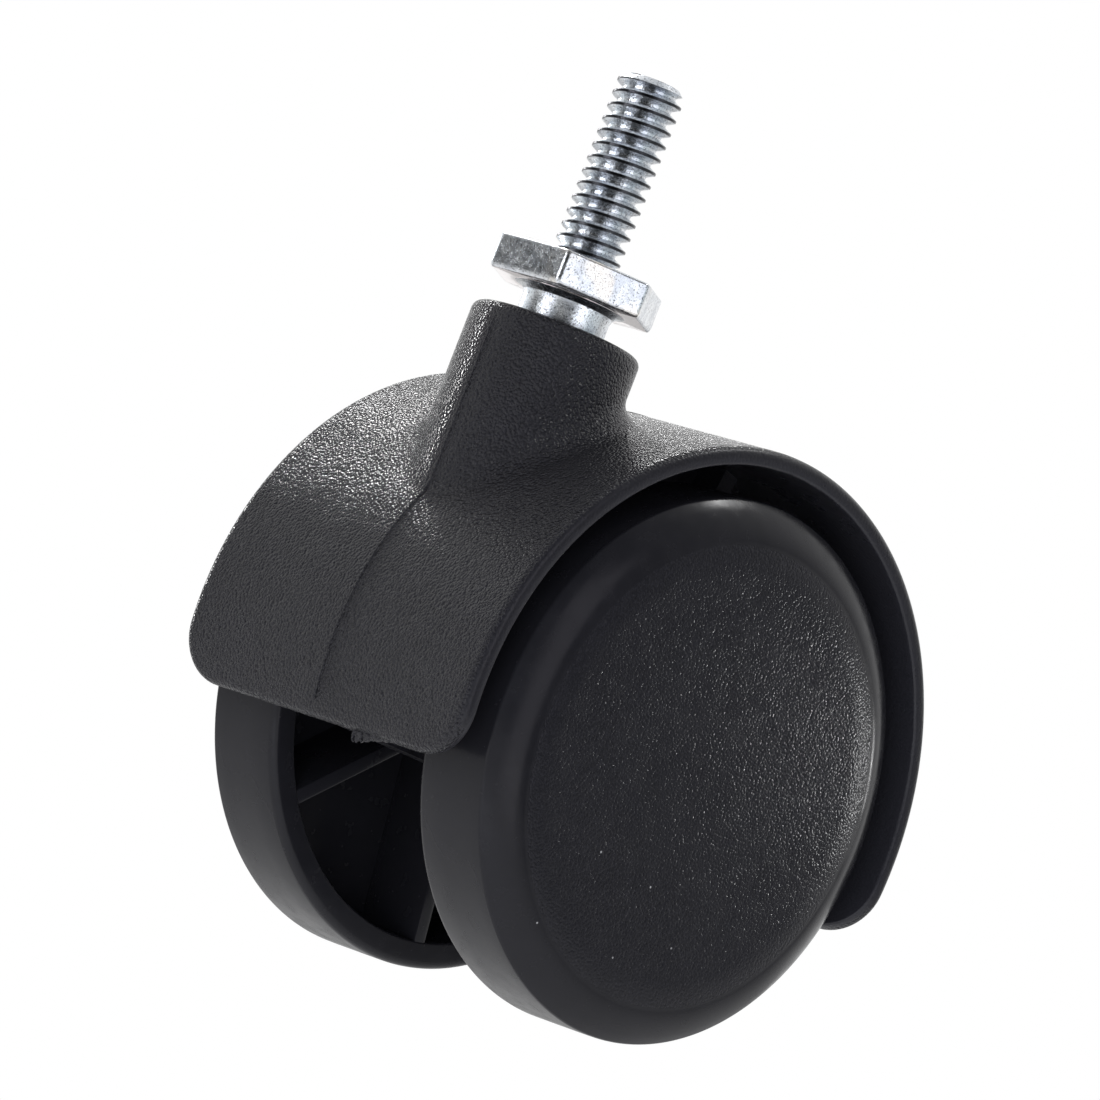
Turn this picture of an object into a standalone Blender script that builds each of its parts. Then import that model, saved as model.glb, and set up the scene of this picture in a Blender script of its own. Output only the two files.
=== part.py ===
"""Twin-wheel chair caster on a threaded stem, modelled piece by piece.

World frame, in metres: +Z runs up the stem, the origin is on the stem's axis at the hex collar's
seat, Y is the axle, and +X is the way the wheels trail. Dimensions below are in millimetres.
"""

import math

import bmesh
import bpy
from mathutils import Matrix, Vector

MM = 0.001
FIT = 0.05  # radial clearance of a running fit
GAP = 0.3  # space left between two pieces that would touch face to face
OVERLAP = 0.7  # how far one part of a moulding runs into the next, so that they join

# Where the axle is, seen from the seat
TRAIL = 17.5
SEAT_TO_AXLE = 39.1

# Wheels
WHEEL_R = 25.0
WHEEL_INNER_Y = 9.7
TREAD_OUTER_Y = 18.2
FACE_Y = 19.9
FACE_DISC_R = 21.15
FACE_DOME_DROP = 1.35  # how far the face falls from the flat disc to the rim's corner
FACE_DOME_POWER = 1.6
RIM_CORNER = 0.8
RIM_SHOULDER = 0.25
RIM_WALL = 2.6
FACE_WALL = 2.5
CUP_DRAFT = 0.4
CUP_CORNER = 1.0
WHEEL_HUB_R = 5.3
HUB_FILLET = 0.6
WHEEL_RIBS = 6
WHEEL_RIB_WALL = 1.4
WHEEL_RIB_SETBACK = 0.08
FIRST_RIB_DEG = -80.5

# Hood, its neck and what is under it
HOOD_R = 29.7
HOOD_WALL = 1.65
HOOD_HALF_WIDTH = 18.65
HOOD_EDGE = 0.7
LIP_DROP = 7.9  # the lips' height under the axle
LIP_CORNER_R = 5.0
NECK_R = 8.0
NECK_EDGE = 0.5
NECK_TO_SEAT = 6.15
SOCKET_DRAFT = 0.4  # how much slimmer the socket is at its foot
SOCKET_LIFT = 2.4  # how far its foot is above the lips
BORE_CHAMFER = 0.5
WEB_WALL = 3.6
AXLE_BOSS_R = 6.2
AXLE_BOSS_HALF = 8.5
HOOD_RIBS_DEG = (4.0, 42.0, 80.0)
HOOD_RIB_WALL = 1.8
HOOD_RIB_HALF = 5.0

# Stem
THREAD_R = 3.175
THREAD_PITCH = 1.27
THREAD_DEPTH = 0.72
THREAD_LENGTH = 17.75
THREAD_CREST = 0.14  # width of the crest and of the ridge's foot, as shares of the pitch
THREAD_FOOT = 0.92
THREAD_SINK = 0.25  # how far the ridge runs into the core
TIP_CHAMFER = 0.9
HEX_ACROSS_FLATS = 14.3
HEX_HEIGHT = 3.25
HEX_TURN_DEG = 34.6
HEX_EDGE = 0.3
SHANK_R = 4.15
STEM_BOTTOM = 41.0
STEM_POINT_R = 1.95
STEM_SHOULDER_R = 3.35

# Rings, discs and the axle
GROOVE_DEPTH = 0.6
GROOVE_SLACK = 0.1  # between a ring and each wall or the floor of its groove
SNAP_RING_WALL = 0.9
SNAP_RING_DROP = 35.5
THRUST_DISC_R = 3.9
THRUST_DISC_WALL = 1.2
AXLE_R = 3.0
AXLE_HALF = 16.2
AXLE_CHAMFER = 0.5
AXLE_CLIP_Y = 14.3
AXLE_CLIP_WALL = 0.7
WASHER_R = 5.0
WASHER_WALL = 0.5
RING_SLOT = 2.2

ROUND = 60  # facets round a wheel or the hood
SMALL_ROUND = 32  # facets round the stem, the axle and their bores
THREAD_STEPS = 12  # facets to one turn of the thread


def clear_scene():
    for obj in list(bpy.data.objects):
        bpy.data.objects.remove(obj, do_unlink=True)


def new_collection(name):
    collection = bpy.data.collections.new(name)
    bpy.context.scene.collection.children.link(collection)
    return collection


def new_material(name, colour, roughness, metallic):
    material = bpy.data.materials.new(name)
    material.use_nodes = True
    shader = material.node_tree.nodes["Principled BSDF"]
    shader.inputs["Base Color"].default_value = (*colour, 1.0)
    shader.inputs["Roughness"].default_value = roughness
    shader.inputs["Metallic"].default_value = metallic
    return material


def add_object(name, mesh, collection, place=Matrix()):
    obj = bpy.data.objects.new(name, mesh)
    collection.objects.link(obj)
    obj.matrix_world = place
    return obj


def metres(points):
    return [Vector((x * MM, y * MM, z * MM)) for x, y, z in points]


def arc(centre, radius, start_deg, end_deg, steps):
    """Points (r, z) of an arc, both ends included."""
    angles = [math.radians(start_deg + (end_deg - start_deg) * i / steps) for i in range(steps + 1)]
    return [(centre[0] + radius * math.cos(a), centre[1] + radius * math.sin(a)) for a in angles]


def turned(name, profile, collection, place=Matrix(), steps=SMALL_ROUND, closed=False):
    """A solid of revolution about local Z from (r, z) points that run down its outer side."""
    mesh = bpy.data.meshes.new(name)
    points = metres((r, 0.0, z) for r, z in profile)
    edges = [(i, i + 1) for i in range(len(points) - 1)]
    if closed:
        edges.append((len(points) - 1, 0))
    mesh.from_pydata(points, edges, [])
    obj = add_object(name, mesh, collection, place)
    screw = obj.modifiers.new("Turn", "SCREW")
    screw.steps = steps
    screw.render_steps = steps
    screw.use_merge_vertices = True
    screw.merge_threshold = 1e-6
    return obj


def cylinder(name, radius, half, collection, place=Matrix(), steps=SMALL_ROUND):
    """A plain cylinder about local Z, from -half to +half."""
    mesh = bpy.data.meshes.new(name)
    shape = bmesh.new()
    bmesh.ops.create_cone(
        shape,
        cap_ends=True,
        segments=steps,
        radius1=radius * MM,
        radius2=radius * MM,
        depth=2 * half * MM,
    )
    shape.to_mesh(mesh)
    shape.free()
    return add_object(name, mesh, collection, place)


def box(name, low, high, collection, place=Matrix()):
    size = [b - a for a, b in zip(low, high)]
    middle = [(a + b) / 2 for a, b in zip(low, high)]
    mesh = bpy.data.meshes.new(name)
    shape = bmesh.new()
    bmesh.ops.create_cube(shape, size=MM)
    bmesh.ops.scale(shape, vec=size, verts=shape.verts)
    bmesh.ops.translate(shape, vec=Vector(middle) * MM, verts=shape.verts)
    shape.to_mesh(mesh)
    shape.free()
    return add_object(name, mesh, collection, place)


def boolean(obj, other, operation):
    modifier = obj.modifiers.new(f"{operation.title()} {other.name}", "BOOLEAN")
    modifier.operation = operation
    modifier.solver = "EXACT"
    modifier.object = other


def cut(obj, *others):
    for other in others:
        boolean(obj, other, "DIFFERENCE")


def add(obj, *others):
    for other in others:
        boolean(obj, other, "UNION")


def keep_within(obj, other):
    boolean(obj, other, "INTERSECT")


def settle(obj, material):
    """Makes the modifiers' result the object's own mesh, shaded smooth up to its real edges."""
    bpy.context.view_layer.update()
    graph = bpy.context.evaluated_depsgraph_get()
    mesh = bpy.data.meshes.new_from_object(obj.evaluated_get(graph))
    obj.modifiers.clear()
    obj.data = mesh
    mesh.name = obj.name
    mesh.shade_smooth()
    mesh.set_sharp_from_angle(angle=math.radians(32))
    mesh.materials.clear()
    mesh.materials.append(material)
    return obj


def along_axle(side=1):
    """The place on the axle whose local Z points out of the side +1 (along +Y) or -1 (along -Y)."""
    centre = Vector((TRAIL, 0.0, -SEAT_TO_AXLE)) * MM
    return Matrix.Translation(centre) @ Matrix.Rotation(math.radians(-90 * side), 4, "X")


def at_axle():
    return Matrix.Translation(Vector((TRAIL, 0.0, -SEAT_TO_AXLE)) * MM)


# Hood: shell, neck with the stem's socket, centre web, axle boss and ribs in one moulding


def hood_shell(parts):
    inner = HOOD_R - HOOD_WALL
    flat = HOOD_HALF_WIDTH - HOOD_EDGE
    top_edge = arc((HOOD_R - HOOD_EDGE, flat), HOOD_EDGE, 90, 0, 3)
    bottom_edge = arc((HOOD_R - HOOD_EDGE, -flat), HOOD_EDGE, 0, -90, 3)
    profile = [(inner, HOOD_HALF_WIDTH), *top_edge, *bottom_edge, (inner, -HOOD_HALF_WIDTH)]
    return turned("hood", profile, parts, along_axle(), ROUND, closed=True)


def neck_and_socket(cutters):
    top = -NECK_TO_SEAT
    edge = arc((NECK_R - NECK_EDGE, top - NECK_EDGE), NECK_EDGE, 90, 0, 3)
    foot = -(SEAT_TO_AXLE + LIP_DROP - SOCKET_LIFT)
    profile = [(0.0, top), *edge, (NECK_R, -SEAT_TO_AXLE), (NECK_R - SOCKET_DRAFT, foot), (0.0, foot)]
    return turned("hood_neck", profile, cutters, steps=ROUND)


def hood_web(cutters):
    reach = HOOD_R - HOOD_WALL / 2
    return cylinder("hood_web", reach, WEB_WALL / 2, cutters, along_axle(), ROUND)


def axle_boss(cutters):
    return cylinder("hood_axle_boss", AXLE_BOSS_R, AXLE_BOSS_HALF, cutters, along_axle())


def hood_rib(angle_deg, cutters):
    half = HOOD_RIB_WALL / 2
    place = at_axle() @ Matrix.Rotation(math.radians(-angle_deg), 4, "Y")
    low = (AXLE_BOSS_R - OVERLAP, -HOOD_RIB_HALF, -half)
    high = (HOOD_R - HOOD_WALL / 2, HOOD_RIB_HALF, half)
    return box(f"hood_rib_{angle_deg:.0f}", low, high, cutters, place)


def lip_outline(cutters):
    """The block that the hood is kept within: its lower edges give the lips and their round corners."""
    side = HOOD_HALF_WIDTH + 0.01
    obj = box("hood_lips", (-40.0, -side, -LIP_DROP), (40.0, side, 60.0), cutters, at_axle())
    shape = bmesh.new()
    shape.from_mesh(obj.data)
    lower = [e for e in shape.edges if all(v.co.z < 0 for v in e.verts)]
    along = [e for e in lower if abs(e.verts[0].co.x - e.verts[1].co.x) > MM]
    bmesh.ops.bevel(shape, geom=along, offset=LIP_CORNER_R * MM, segments=6, profile=0.5, affect="EDGES")
    shape.to_mesh(obj.data)
    shape.free()
    return obj


def stem_bore(cutters):
    radius = SHANK_R + FIT
    recess = SHANK_R + GROOVE_DEPTH + GAP
    above = -SNAP_RING_DROP + SNAP_RING_WALL / 2 + GAP
    below = -SNAP_RING_DROP - SNAP_RING_WALL / 2 - GAP
    floor = -(STEM_BOTTOM + THRUST_DISC_WALL + 2 * GAP)
    mouth = -NECK_TO_SEAT
    profile = [
        (0.0, mouth + BORE_CHAMFER),
        (radius + 2 * BORE_CHAMFER, mouth + BORE_CHAMFER),
        (radius, mouth - BORE_CHAMFER),
        (radius, above),
        (recess, above),
        (recess, below),
        (radius, below),
        (radius, floor),
        (0.0, floor),
    ]
    return turned("hood_stem_bore", profile, cutters)


def axle_bore(cutters):
    return cylinder("hood_axle_bore", AXLE_R + FIT, AXLE_BOSS_HALF + 2.0, cutters, along_axle())


def make_hood(parts, cutters, material):
    hood = hood_shell(parts)
    ribs = [hood_rib(angle, cutters) for angle in HOOD_RIBS_DEG]
    add(hood, hood_web(cutters), neck_and_socket(cutters), axle_boss(cutters), *ribs)
    keep_within(hood, lip_outline(cutters))
    cut(hood, stem_bore(cutters), axle_bore(cutters))
    return settle(hood, material)


# Wheels: a ribbed cup with a blind hub, closed on the outside


def wheel_profile():
    shoulder = WHEEL_R - RIM_CORNER
    dome = [
        (FACE_DISC_R + (shoulder - FACE_DISC_R) * t, FACE_Y - FACE_DOME_DROP * t**FACE_DOME_POWER)
        for t in (0.0, 0.25, 0.5, 0.75, 1.0)
    ]
    cup_r = WHEEL_R - RIM_WALL
    cup_floor_r = cup_r - CUP_DRAFT
    floor = FACE_Y - FACE_WALL
    hub_bore = AXLE_R + FIT
    recess_r = AXLE_R + GROOVE_DEPTH + GAP
    recess_half = AXLE_CLIP_WALL / 2 + GAP
    inner_corner = arc((shoulder, WHEEL_INNER_Y + RIM_CORNER), RIM_CORNER, 0, -90, 3)
    return [
        (0.0, FACE_Y),
        *dome,
        (WHEEL_R - RIM_SHOULDER, TREAD_OUTER_Y),
        (WHEEL_R, TREAD_OUTER_Y - RIM_CORNER),
        *inner_corner,
        (cup_r, WHEEL_INNER_Y),
        (cup_floor_r, floor - CUP_CORNER),
        (cup_floor_r - CUP_CORNER, floor),
        (WHEEL_HUB_R + HUB_FILLET, floor),
        (WHEEL_HUB_R, floor - HUB_FILLET),
        (WHEEL_HUB_R, WHEEL_INNER_Y),
        (hub_bore, WHEEL_INNER_Y),
        (hub_bore, AXLE_CLIP_Y - recess_half),
        (recess_r, AXLE_CLIP_Y - recess_half),
        (recess_r, AXLE_CLIP_Y + recess_half),
        (hub_bore, AXLE_CLIP_Y + recess_half),
        (hub_bore, AXLE_HALF + GAP),
        (0.0, AXLE_HALF + GAP),
    ]


def wheel_rib(name, angle_deg, place, cutters):
    half = WHEEL_RIB_WALL / 2
    low = (WHEEL_HUB_R - OVERLAP, -half, WHEEL_INNER_Y + WHEEL_RIB_SETBACK)
    high = (WHEEL_R - RIM_WALL + OVERLAP, half, FACE_Y - FACE_WALL + OVERLAP)
    turn = Matrix.Rotation(math.radians(angle_deg), 4, "Z")
    return box(name, low, high, cutters, place @ turn)


def make_wheel(name, side, parts, cutters, material):
    place = along_axle(side)
    wheel = turned(name, wheel_profile(), parts, place, ROUND)
    for i in range(WHEEL_RIBS):
        # The local X axis is world X, and the local turn mirrors with the side
        angle = -side * (FIRST_RIB_DEG + i * 360 / WHEEL_RIBS)
        add(wheel, wheel_rib(f"{name}_rib_{i}", angle, place, cutters))
    return settle(wheel, material)


# Stem: thread, hex collar and grooved shank in one piece of steel


def shank_profile():
    groove = SHANK_R - GROOVE_DEPTH
    above = -SNAP_RING_DROP + SNAP_RING_WALL / 2 + GROOVE_SLACK
    below = -SNAP_RING_DROP - SNAP_RING_WALL / 2 - GROOVE_SLACK
    top = -HEX_HEIGHT + OVERLAP
    return [
        (0.0, top),
        (SHANK_R, top),
        (SHANK_R, above),
        (groove, above),
        (groove, below),
        (SHANK_R, below),
        (SHANK_R, -STEM_BOTTOM + 1.2),
        (STEM_SHOULDER_R, -STEM_BOTTOM + 0.3),
        (STEM_POINT_R, -STEM_BOTTOM),
        (0.0, -STEM_BOTTOM),
    ]


def thread_ridge(cutters):
    """One V-shaped ridge wound up the stem, from inside the collar to past the tip."""
    inside = THREAD_R - THREAD_DEPTH - THREAD_SINK
    half = THREAD_PITCH * THREAD_FOOT / 2
    crest = THREAD_PITCH * THREAD_CREST / 2
    turns = round(THREAD_LENGTH / THREAD_PITCH) + 2
    outline = [(inside, -half), (THREAD_R, -crest), (THREAD_R, crest), (inside, half)]
    shape = bmesh.new()
    verts = [shape.verts.new(p) for p in metres((r, 0.0, z - THREAD_PITCH) for r, z in outline)]
    loop = [shape.edges.new((verts[i], verts[(i + 1) % 4])) for i in range(4)]
    swept = bmesh.ops.spin(
        shape,
        geom=verts + loop,
        cent=(0.0, 0.0, 0.0),
        axis=(0.0, 0.0, 1.0),
        dvec=(0.0, 0.0, THREAD_PITCH * MM / THREAD_STEPS),
        angle=math.tau * turns,
        steps=THREAD_STEPS * turns,
        use_duplicate=False,
    )
    shape.faces.new(verts)
    shape.faces.new([v for v in swept["geom_last"] if isinstance(v, bmesh.types.BMVert)])
    bmesh.ops.recalc_face_normals(shape, faces=shape.faces)
    mesh = bpy.data.meshes.new("stem_thread_ridge")
    shape.to_mesh(mesh)
    shape.free()
    return add_object("stem_thread_ridge", mesh, cutters)


def thread_core(cutters):
    """The thread's root, with its facets half a step round from the ridge's."""
    half = THREAD_LENGTH / 2 + 1.0
    half_step = Matrix.Rotation(math.pi / THREAD_STEPS, 4, "Z")
    place = Matrix.Translation((0.0, 0.0, THREAD_LENGTH / 2 * MM)) @ half_step
    return cylinder("stem_thread", THREAD_R - THREAD_DEPTH, half, cutters, place, THREAD_STEPS)


def thread_envelope(cutters):
    """The block that the thread is kept within, with the tip's chamfer."""
    reach = THREAD_R + THREAD_SINK
    tip_r = reach - TIP_CHAMFER
    profile = [(0.0, THREAD_LENGTH), (tip_r, THREAD_LENGTH), (reach, THREAD_LENGTH - TIP_CHAMFER)]
    foot = [(reach, -OVERLAP), (0.0, -OVERLAP)]
    return turned("stem_thread_envelope", profile + foot, cutters)


def hex_collar(cutters):
    mesh = bpy.data.meshes.new("stem_hex")
    shape = bmesh.new()
    corner_r = HEX_ACROSS_FLATS / math.sqrt(3) * MM
    bmesh.ops.create_cone(
        shape, cap_ends=True, segments=6, radius1=corner_r, radius2=corner_r, depth=HEX_HEIGHT * MM
    )
    bmesh.ops.bevel(shape, geom=shape.edges, offset=HEX_EDGE * MM, segments=1, affect="EDGES")
    turn = Matrix.Rotation(math.radians(HEX_TURN_DEG - 30), 4, "Z")
    bmesh.ops.transform(shape, matrix=turn, verts=shape.verts)
    bmesh.ops.translate(shape, vec=(0.0, 0.0, -HEX_HEIGHT / 2 * MM), verts=shape.verts)
    shape.to_mesh(mesh)
    shape.free()
    return add_object("stem_hex", mesh, cutters)


def make_stem(parts, cutters, material):
    stem = turned("threaded_stem", shank_profile(), parts)
    collar = hex_collar(cutters)
    thread = thread_core(cutters)
    add(thread, thread_ridge(cutters))
    keep_within(thread, thread_envelope(cutters))
    add(stem, collar, thread)
    return settle(stem, material)


# Rings, discs and the axle


def split_ring(name, inner, outer, wall, place, parts, cutters, material):
    half = wall / 2
    profile = [(inner, half), (outer, half), (outer, -half), (inner, -half)]
    ring = turned(name, profile, parts, place, closed=True)
    slot = RING_SLOT / 2
    low = (0.0, -slot, -wall)
    cut(ring, box(f"{name}_slot", low, (outer + 1.0, slot, wall), cutters, place))
    return settle(ring, material)


def make_snap_ring(parts, cutters, material):
    place = Matrix.Translation((0.0, 0.0, -SNAP_RING_DROP * MM))
    inner = SHANK_R - GROOVE_DEPTH + GROOVE_SLACK
    outer = SHANK_R + GROOVE_DEPTH
    return split_ring("stem_snap_ring", inner, outer, SNAP_RING_WALL, place, parts, cutters, material)


def make_thrust_disc(parts, material):
    top = -(STEM_BOTTOM + GAP)
    low = top - THRUST_DISC_WALL
    profile = [(0.0, top), (THRUST_DISC_R, top), (THRUST_DISC_R, low), (0.0, low)]
    return settle(turned("thrust_disc", profile, parts), material)


def make_axle(parts, material):
    groove = AXLE_R - GROOVE_DEPTH
    half = AXLE_CLIP_WALL / 2 + GROOVE_SLACK
    outward = [
        (0.0, AXLE_HALF),
        (AXLE_R - AXLE_CHAMFER, AXLE_HALF),
        (AXLE_R, AXLE_HALF - AXLE_CHAMFER),
        (AXLE_R, AXLE_CLIP_Y + half),
        (groove, AXLE_CLIP_Y + half),
        (groove, AXLE_CLIP_Y - half),
        (AXLE_R, AXLE_CLIP_Y - half),
    ]
    inward = [(r, -z) for r, z in reversed(outward)]
    return settle(turned("axle_pin", outward + inward, parts, along_axle()), material)


def make_axle_clip(name, side, parts, cutters, material):
    place = along_axle(side) @ Matrix.Translation((0.0, 0.0, AXLE_CLIP_Y * MM))
    inner = AXLE_R - GROOVE_DEPTH + GROOVE_SLACK
    outer = AXLE_R + GROOVE_DEPTH
    return split_ring(name, inner, outer, AXLE_CLIP_WALL, place, parts, cutters, material)


def make_washer(name, side, parts, material):
    low = AXLE_BOSS_HALF + GAP
    high = low + WASHER_WALL
    inner = AXLE_R + 3 * FIT
    profile = [(inner, high), (WASHER_R, high), (WASHER_R, low), (inner, low)]
    washer = turned(name, profile, parts, along_axle(side), closed=True)
    return settle(washer, material)


def hang_on_axes(parts, stem_pieces, wheels):
    """Parents the pieces to the axes that they turn about."""
    swivel = add_object("swivel_axis", None, parts)
    axle = add_object("axle_axis", None, parts, at_axle())
    bpy.context.view_layer.update()
    for obj in list(parts.objects):
        if obj in stem_pieces or obj is swivel:
            continue
        parent = axle if obj in wheels else swivel
        place = obj.matrix_world.copy()
        obj.parent = parent
        obj.matrix_parent_inverse = parent.matrix_world.inverted()
        obj.matrix_world = place


def main():
    clear_scene()
    parts = new_collection("chair_caster")
    cutters = new_collection("cutters")
    nylon = new_material("black_nylon", (0.022, 0.022, 0.025), 0.62, 0.0)
    wheel_nylon = new_material("black_wheel_nylon", (0.018, 0.018, 0.021), 0.38, 0.0)
    zinc = new_material("bright_zinc", (0.70, 0.74, 0.78), 0.24, 1.0)
    steel = new_material("plain_steel", (0.55, 0.55, 0.56), 0.35, 1.0)
    spring_steel = new_material("spring_steel", (0.30, 0.30, 0.32), 0.40, 1.0)

    stem = make_stem(parts, cutters, zinc)
    snap_ring = make_snap_ring(parts, cutters, spring_steel)
    make_hood(parts, cutters, nylon)
    make_thrust_disc(parts, steel)
    make_axle(parts, steel)
    wheels = []
    for hand, side in (("left", -1), ("right", 1)):
        wheels.append(make_wheel(f"wheel_{hand}", side, parts, cutters, wheel_nylon))
        make_axle_clip(f"axle_clip_{hand}", side, parts, cutters, spring_steel)
        make_washer(f"axle_washer_{hand}", side, parts, steel)
    for obj in cutters.objects:
        obj.hide_render = True
        obj.display_type = "WIRE"
    hang_on_axes(parts, (stem, snap_ring), wheels)


main()
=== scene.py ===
"""Looks of the twin-wheel chair caster: grained black nylon and bright zinc plate.

The frame is the CAD's: +Z up the stem, the origin at the hex collar's seat, Y along the axle and
+X the way the wheels trail. Lengths are in millimetres until a mesh is made.
"""

import math

import bmesh
import bpy
import numpy as np
from mathutils import Matrix, Vector


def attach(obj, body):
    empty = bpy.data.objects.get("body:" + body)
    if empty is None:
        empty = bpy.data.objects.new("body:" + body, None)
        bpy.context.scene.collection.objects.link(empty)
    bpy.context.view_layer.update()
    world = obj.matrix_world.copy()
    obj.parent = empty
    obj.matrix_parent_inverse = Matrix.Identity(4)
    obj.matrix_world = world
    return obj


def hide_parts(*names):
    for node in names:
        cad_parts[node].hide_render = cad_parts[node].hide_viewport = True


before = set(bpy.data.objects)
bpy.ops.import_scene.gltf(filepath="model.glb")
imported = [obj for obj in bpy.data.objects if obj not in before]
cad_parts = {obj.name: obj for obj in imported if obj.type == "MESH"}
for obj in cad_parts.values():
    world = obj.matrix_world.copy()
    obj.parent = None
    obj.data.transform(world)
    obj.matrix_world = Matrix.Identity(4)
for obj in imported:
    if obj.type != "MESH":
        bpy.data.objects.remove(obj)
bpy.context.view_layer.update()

MM = 0.001

# Axle, seen from the seat
TRAIL = 17.5
DROP = 39.1

# Wheels
WHEEL_R = 25.0
WHEEL_INNER_Y = 9.7
FACE_Y = 19.9
DISC_R = 21.15
DISC_STEP = 0.06
DISC_CROWN = 0.28
DOME_R = 24.25
DOME_DROP = 1.3
DOME_POWER = 1.6
RIM_INNER_R = 22.4
CUP_FLOOR_Y = 17.4
HUB_R = 5.3
HUB_BORE_R = 3.05
HUB_BORE_END = 16.5
HUB_GROOVE_R = 3.9
HUB_GROOVE = (13.65, 14.95)
WHEEL_RIBS = 6
FIRST_RIB_DEG = -80.5
WHEEL_RIB_REACH = (4.6, 23.0)  # from the axle
WHEEL_RIB_END_Y = 18.2
WHEEL_RIB_HALF = 0.7

# Hood
HOOD_R = 29.7
HOOD_WALL = 1.65
HOOD_HALF = 18.65
HOOD_EDGE = 0.8
HOOD_INNER_EDGE = 0.3
LIP_DROP = 7.9
LIP_CORNER = 5.0
NECK_R = 8.0
NECK_TOP = -6.15
NECK_EDGE = 0.9
SOCKET_FOOT_R = 7.6
SOCKET_FOOT_RISE = 2.4  # above the lips
SOCKET_FILLET = 1.0
BORE_R = 4.2
BORE_GROOVE_R = 5.05
BORE_GROOVE = (-36.25, -34.75)
PLATE_HALF = 1.8
BOSS_R = 6.2
BOSS_HALF = 8.5
HOOD_RIB_HALF = 5.0
HOOD_RIB_THICKNESS = 1.8
HOOD_RIB_DEGS = (4.0, 42.0, 80.0)

# Stem
SHANK_R = 4.15
SHANK_GROOVE_R = 3.55
SHANK_GROOVE = (-34.95, -36.05)
STEM_BOTTOM = -41.0
SOCKET_FLOOR = STEM_BOTTOM - 1.8  # the thrust disc lies on it
HEX_FLAT_R = 7.15
HEX_HEIGHT = 3.25
HEX_TURN_DEG = 34.6
THREAD_R = 3.175
THREAD_PITCH = 1.27
THREAD_DEPTH = 0.72
THREAD_LENGTH = 17.75
THREAD_CHAMFER = 0.9

# Axle pin and washers
AXLE_R = 3.0
AXLE_HALF = 16.2
AXLE_GROOVE_R = 2.4
AXLE_GROOVE = (14.75, 13.85)
AXLE = Vector((TRAIL, 0.0, -DROP))
WASHER_BORE_R = 3.15
WASHER_R = 5.0
WASHER_Y = (8.8, 9.3)

# Stage. The lights' places and sizes are in metres.
FLOOR_HALF = 2400.0
FLOOR_Z = -340.0
CAMERA_FROM_AXLE = Vector((-448.504, -447.098, -36.568))
VIEW_RIGHT = Vector((0.64431, -0.67529, 0.35896))
VIEW_UP = Vector((-0.31001, 0.19846, 0.92979))
VIEW_FORWARD = Vector((0.69911, 0.71035, 0.08148))
LENS = 228.16
MIDDLE = Vector((0.012, 0.0, -0.03))
LIGHT_REACH = 0.9
GLOW_FROM = (0.62, 0.63, 0.45)


# Mesh helpers


def add_object(name, mesh, material, body, slot, *replaced):
    obj = bpy.data.objects.new(name, mesh)
    bpy.context.scene.collection.objects.link(obj)
    mesh.materials.clear()
    mesh.materials.append(material)
    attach(obj, body)
    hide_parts(*replaced)
    return obj


def mesh_of(name, points, faces, crease_deg=30.0):
    """A mesh from points in millimetres, facing outwards, smooth up to its real edges."""
    mesh = bpy.data.meshes.new(name)
    mesh.from_pydata([tuple(p) for p in np.asarray(points) * MM], [], [tuple(f) for f in faces])
    shape = bmesh.new()
    shape.from_mesh(mesh)
    if shape.calc_volume(signed=True) < 0:
        bmesh.ops.reverse_faces(shape, faces=shape.faces)
    shape.to_mesh(mesh)
    shape.free()
    smooth(mesh, crease_deg)
    return mesh


def smooth(mesh, crease_deg=30.0):
    mesh.shade_smooth()
    mesh.set_sharp_from_angle(angle=math.radians(crease_deg))


def ring_mesh(name, rings, first=None, last=None, crease_deg=30.0):
    """A closed surface over rings of equally many points. A pole closes each end, or the ends meet."""
    rings = np.asarray(rings, float)
    rows, count = rings.shape[:2]
    index = np.arange(rows * count).reshape(rows, count)
    points = list(rings.reshape(-1, 3))
    low, high = index[:-1], index[1:]
    if first is None:
        low, high = index, np.roll(index, -1, axis=0)
    quads = np.stack([low, np.roll(low, -1, axis=1), np.roll(high, -1, axis=1), high], axis=-1)
    faces = [list(map(int, quad)) for quad in quads.reshape(-1, 4)]
    if first is not None:
        tip = len(points)
        points += [np.asarray(first, float), np.asarray(last, float)]
        for row, pole in ((index[0, ::-1], tip), (index[-1], tip + 1)):
            faces += [[int(a), int(b), pole] for a, b in zip(row, np.roll(row, -1))]
    return mesh_of(name, points, faces, crease_deg)


def rounded(corners, steps=4):
    """Points (r, z) through corners (r, z, radius), with an arc at each corner that has a radius."""
    points = []
    for i, (r, z, radius) in enumerate(corners):
        here = Vector((r, z))
        if not radius:
            points.append((r, z))
            continue
        back = (Vector(corners[i - 1][:2]) - here).normalized()
        ahead = (Vector(corners[(i + 1) % len(corners)][:2]) - here).normalized()
        half = back.angle(ahead) / 2
        centre = here + (back + ahead).normalized() * radius / math.sin(half)
        start = here + back * (radius / math.tan(half)) - centre
        end = here + ahead * (radius / math.tan(half)) - centre
        points += [tuple(centre + start.slerp(end, k / steps) * radius) for k in range(steps + 1)]
    return points


def groove(r, floor_r, start, end, radius=0):
    """Corners of a ring groove, which the profile reaches at start and leaves at end."""
    return [(r, start, radius), (floor_r, start, radius), (floor_r, end, radius), (r, end, radius)]


def mirrored(half):
    """A profile that is the same on both sides of the centre plane, from its half on the +Y side."""
    return half + [(r, -h, *rest) for r, h, *rest in reversed(half)]


def about_stem(profile, count):
    turn = np.linspace(0.0, math.tau, count, endpoint=False)
    return [np.stack([r * np.cos(turn), r * np.sin(turn), np.full(count, z)], -1) for r, z in profile]


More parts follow.
